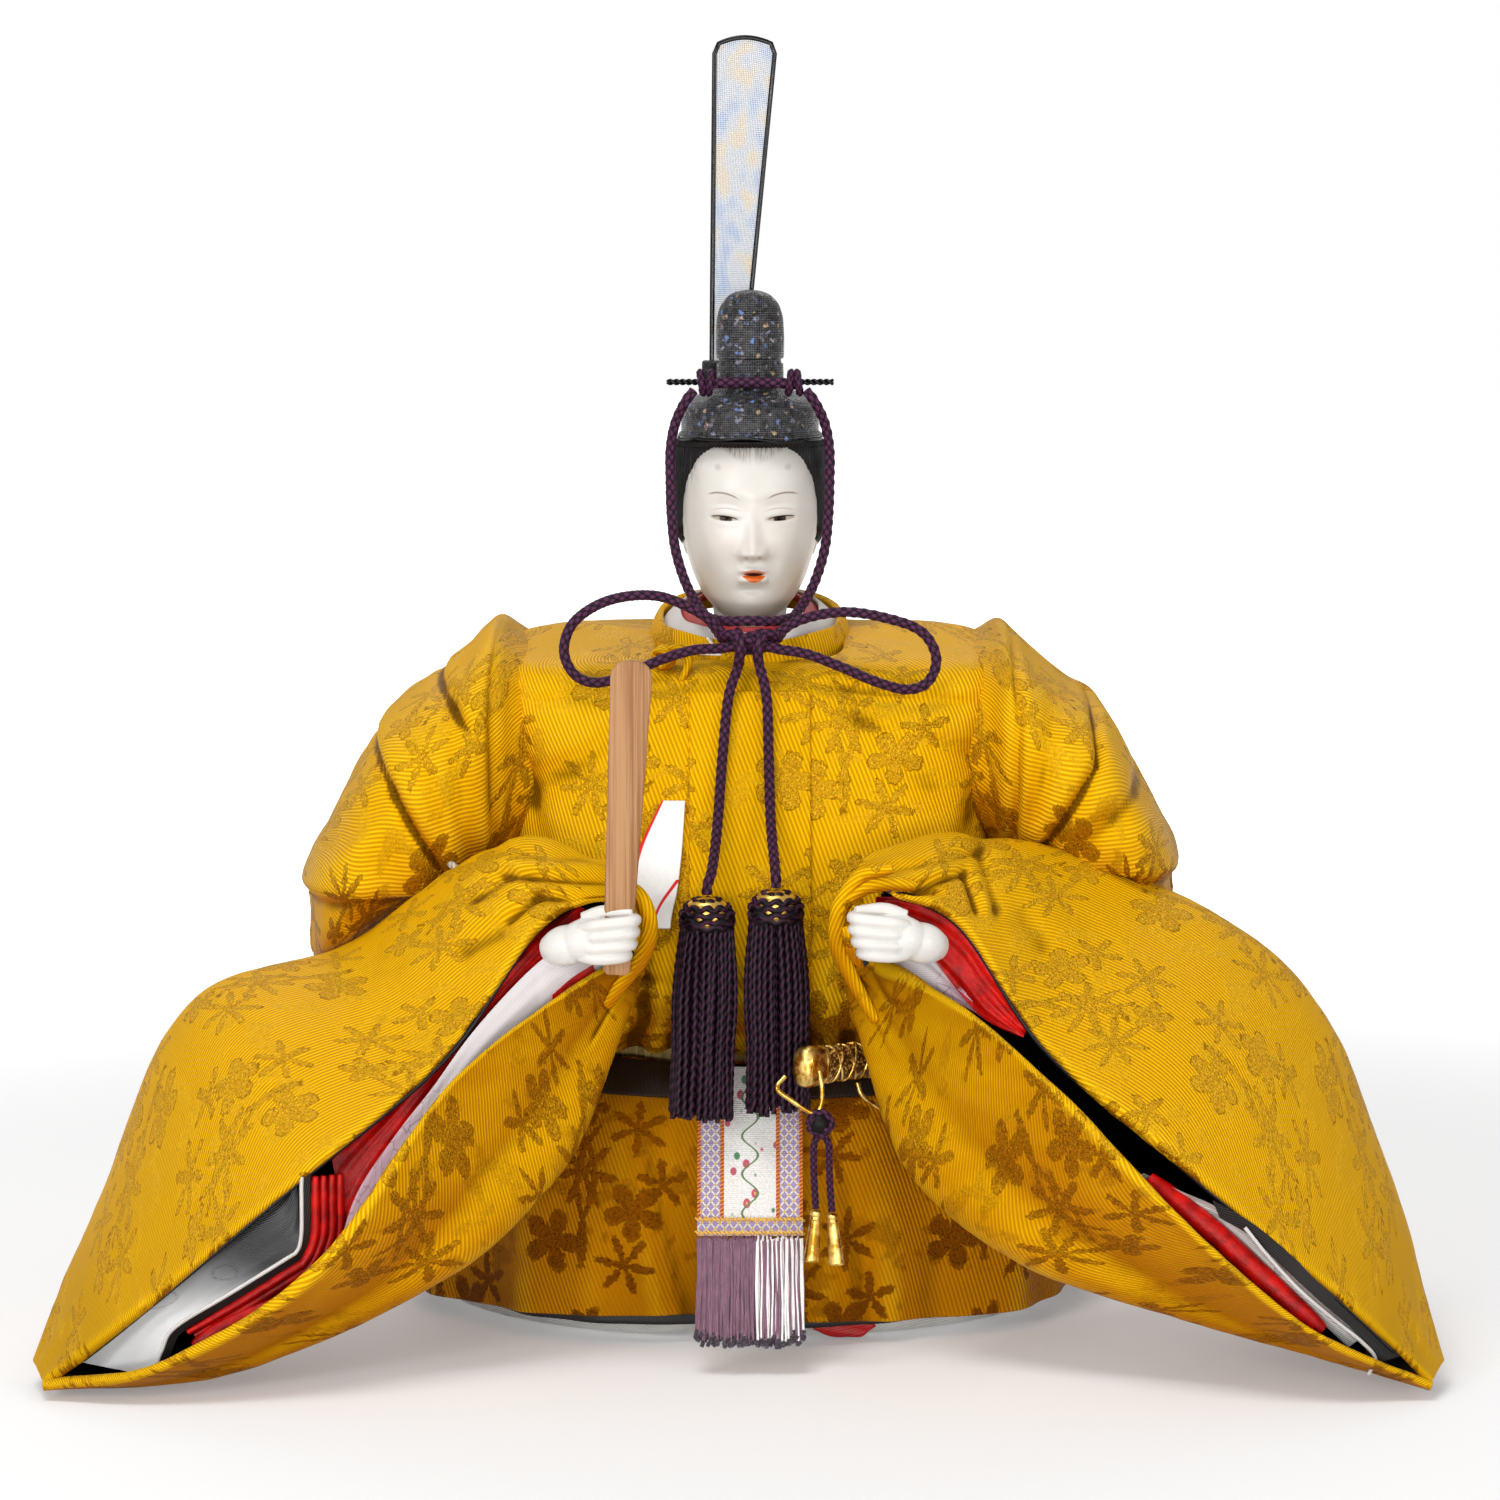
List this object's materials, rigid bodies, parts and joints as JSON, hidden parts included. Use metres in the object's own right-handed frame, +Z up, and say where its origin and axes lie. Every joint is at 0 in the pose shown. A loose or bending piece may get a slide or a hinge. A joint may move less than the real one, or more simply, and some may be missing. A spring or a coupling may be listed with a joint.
{
  "type": "seated court doll",
  "caption": "Seated court doll in a yellow-gold brocade robe with spread slit sleeves, tall tailed crown, flat sceptre, tied chin cord with tassels and a side sword.",
  "frame": {"origin": "middle of the flat underside of the seat board, on the display shelf", "axes": "+Z up; +X to the viewer's right as the doll faces the viewer; +Y towards the doll's back"},
  "size_m": [0.2778, 0.1686, 0.2657],
  "materials": {
    "gold_silk": "yellow-gold silk brocade, tone on tone",
    "black_silk": "plain dark silk",
    "silver_silk": "silver-white silk",
    "red_silk": "red silk",
    "white_silk": "white silk",
    "purple_cord": "dark purple braid",
    "shell_white": "white shell-lime coating, satin",
    "black_lacquer": "black lacquered gauze",
    "hair_black": "black silk hair",
    "gauze": "stiff fine gauze",
    "wood": "plain wood",
    "straw": "bound straw",
    "gilt": "gilt metal",
    "steel_wire": "wire",
    "rayskin": "pebbled skin",
    "lilac": "lilac brocade",
    "fringe_mauve": "silk threads",
    "paper": "folded paper"
  },
  "bodies": {
    "doll": {"seat_board": "wood", "body_core": "straw", "arm_wire": "steel_wire", "trouser_leg_left": "silver_silk", "trouser_leg_right": "silver_silk", "trouser_lining": "red_silk", "robe_skirt": "gold_silk", "skirt_hem_lining": "black_silk", "robe_bodice": "gold_silk", "front_flap": "gold_silk", "belt": "black_silk", "collar_band": "gold_silk", "white_collar": "white_silk", "red_collar": "red_silk", "collar_button": "gold_silk", "folded_paper": "paper", "shoulder_left": "gold_silk", "shoulder_right": "gold_silk", "sleeve_left": "gold_silk", "sleeve_right": "gold_silk", "sleeve_lining_left": "black_silk", "sleeve_lining_right": "black_silk", "sleeve_silver_left": "silver_silk", "sleeve_silver_right": "silver_silk", "sleeve_red_left": "red_silk", "sleeve_red_right": "red_silk", "sleeve_cuff_left": "white_silk", "hand_left": "shell_white", "hand_right": "shell_white", "cheek_cord_left": "purple_cord", "cheek_cord_right": "purple_cord", "chin_knot": "purple_cord", "bow_loop_left": "purple_cord", "bow_loop_right": "purple_cord", "hanging_cord_right": "purple_cord", "tassel_head_right": "purple_cord", "tassel_skirt_right": "purple_cord", "waist_strap": "lilac", "sword_sling": "black_silk"},
    "head": {"head": "shell_white", "hair": "hair_black", "crown_cap": "black_lacquer", "crown_dome": "black_lacquer", "crown_pin": "black_lacquer", "crown_cord": "purple_cord"},
    "crown_tail": {"tail_frame": "black_lacquer", "tail_gauze": "gauze"},
    "sceptre": {"shaku": "wood"},
    "tassel_left": {"hanging_cord_left": "purple_cord", "tassel_head_left": "purple_cord", "tassel_skirt_left": "purple_cord"},
    "fringe": {"strap_fringe": "fringe_mauve"},
    "sword": {"sword_pommel": "gilt", "sword_grip": "rayskin", "sword_scabbard": "black_lacquer", "sword_wire_loop": "gilt", "drop_knot": "purple_cord", "drop_cord": "purple_cord", "drop_tip_left": "gilt", "drop_tip_right": "gilt"}
  },
  "joints": [
    {"name": "head_turn", "type": "hinge", "parent": "doll", "child": "head", "pos_m": [0, 0, 0.137], "axis": [0, 0, 1], "range_deg": [-6, 6]},
    {"name": "tail_lift", "type": "slide", "parent": "head", "child": "crown_tail", "axis": [0, 0, 1], "range_m": [0, 0.01]},
    {"name": "sceptre_lift", "type": "slide", "parent": "doll", "child": "sceptre", "axis": [0.0523, 0, 0.9986], "range_m": [0, 0.04]},
    {"name": "tassel_swing", "type": "hinge", "parent": "doll", "child": "tassel_left", "pos_m": [-0.0024, -0.0364, 0.1368], "axis": [-1, 0, 0], "range_deg": [0, 12]},
    {"name": "fringe_swing", "type": "hinge", "parent": "doll", "child": "fringe", "pos_m": [0, -0.0729, 0.0253], "axis": [-1, 0, 0], "range_deg": [0, 12]},
    {"name": "sword_draw", "type": "slide", "parent": "doll", "child": "sword", "axis": [-0.7067, -0.7067, 0.0349], "range_m": [0, 0.04]}
  ]
}
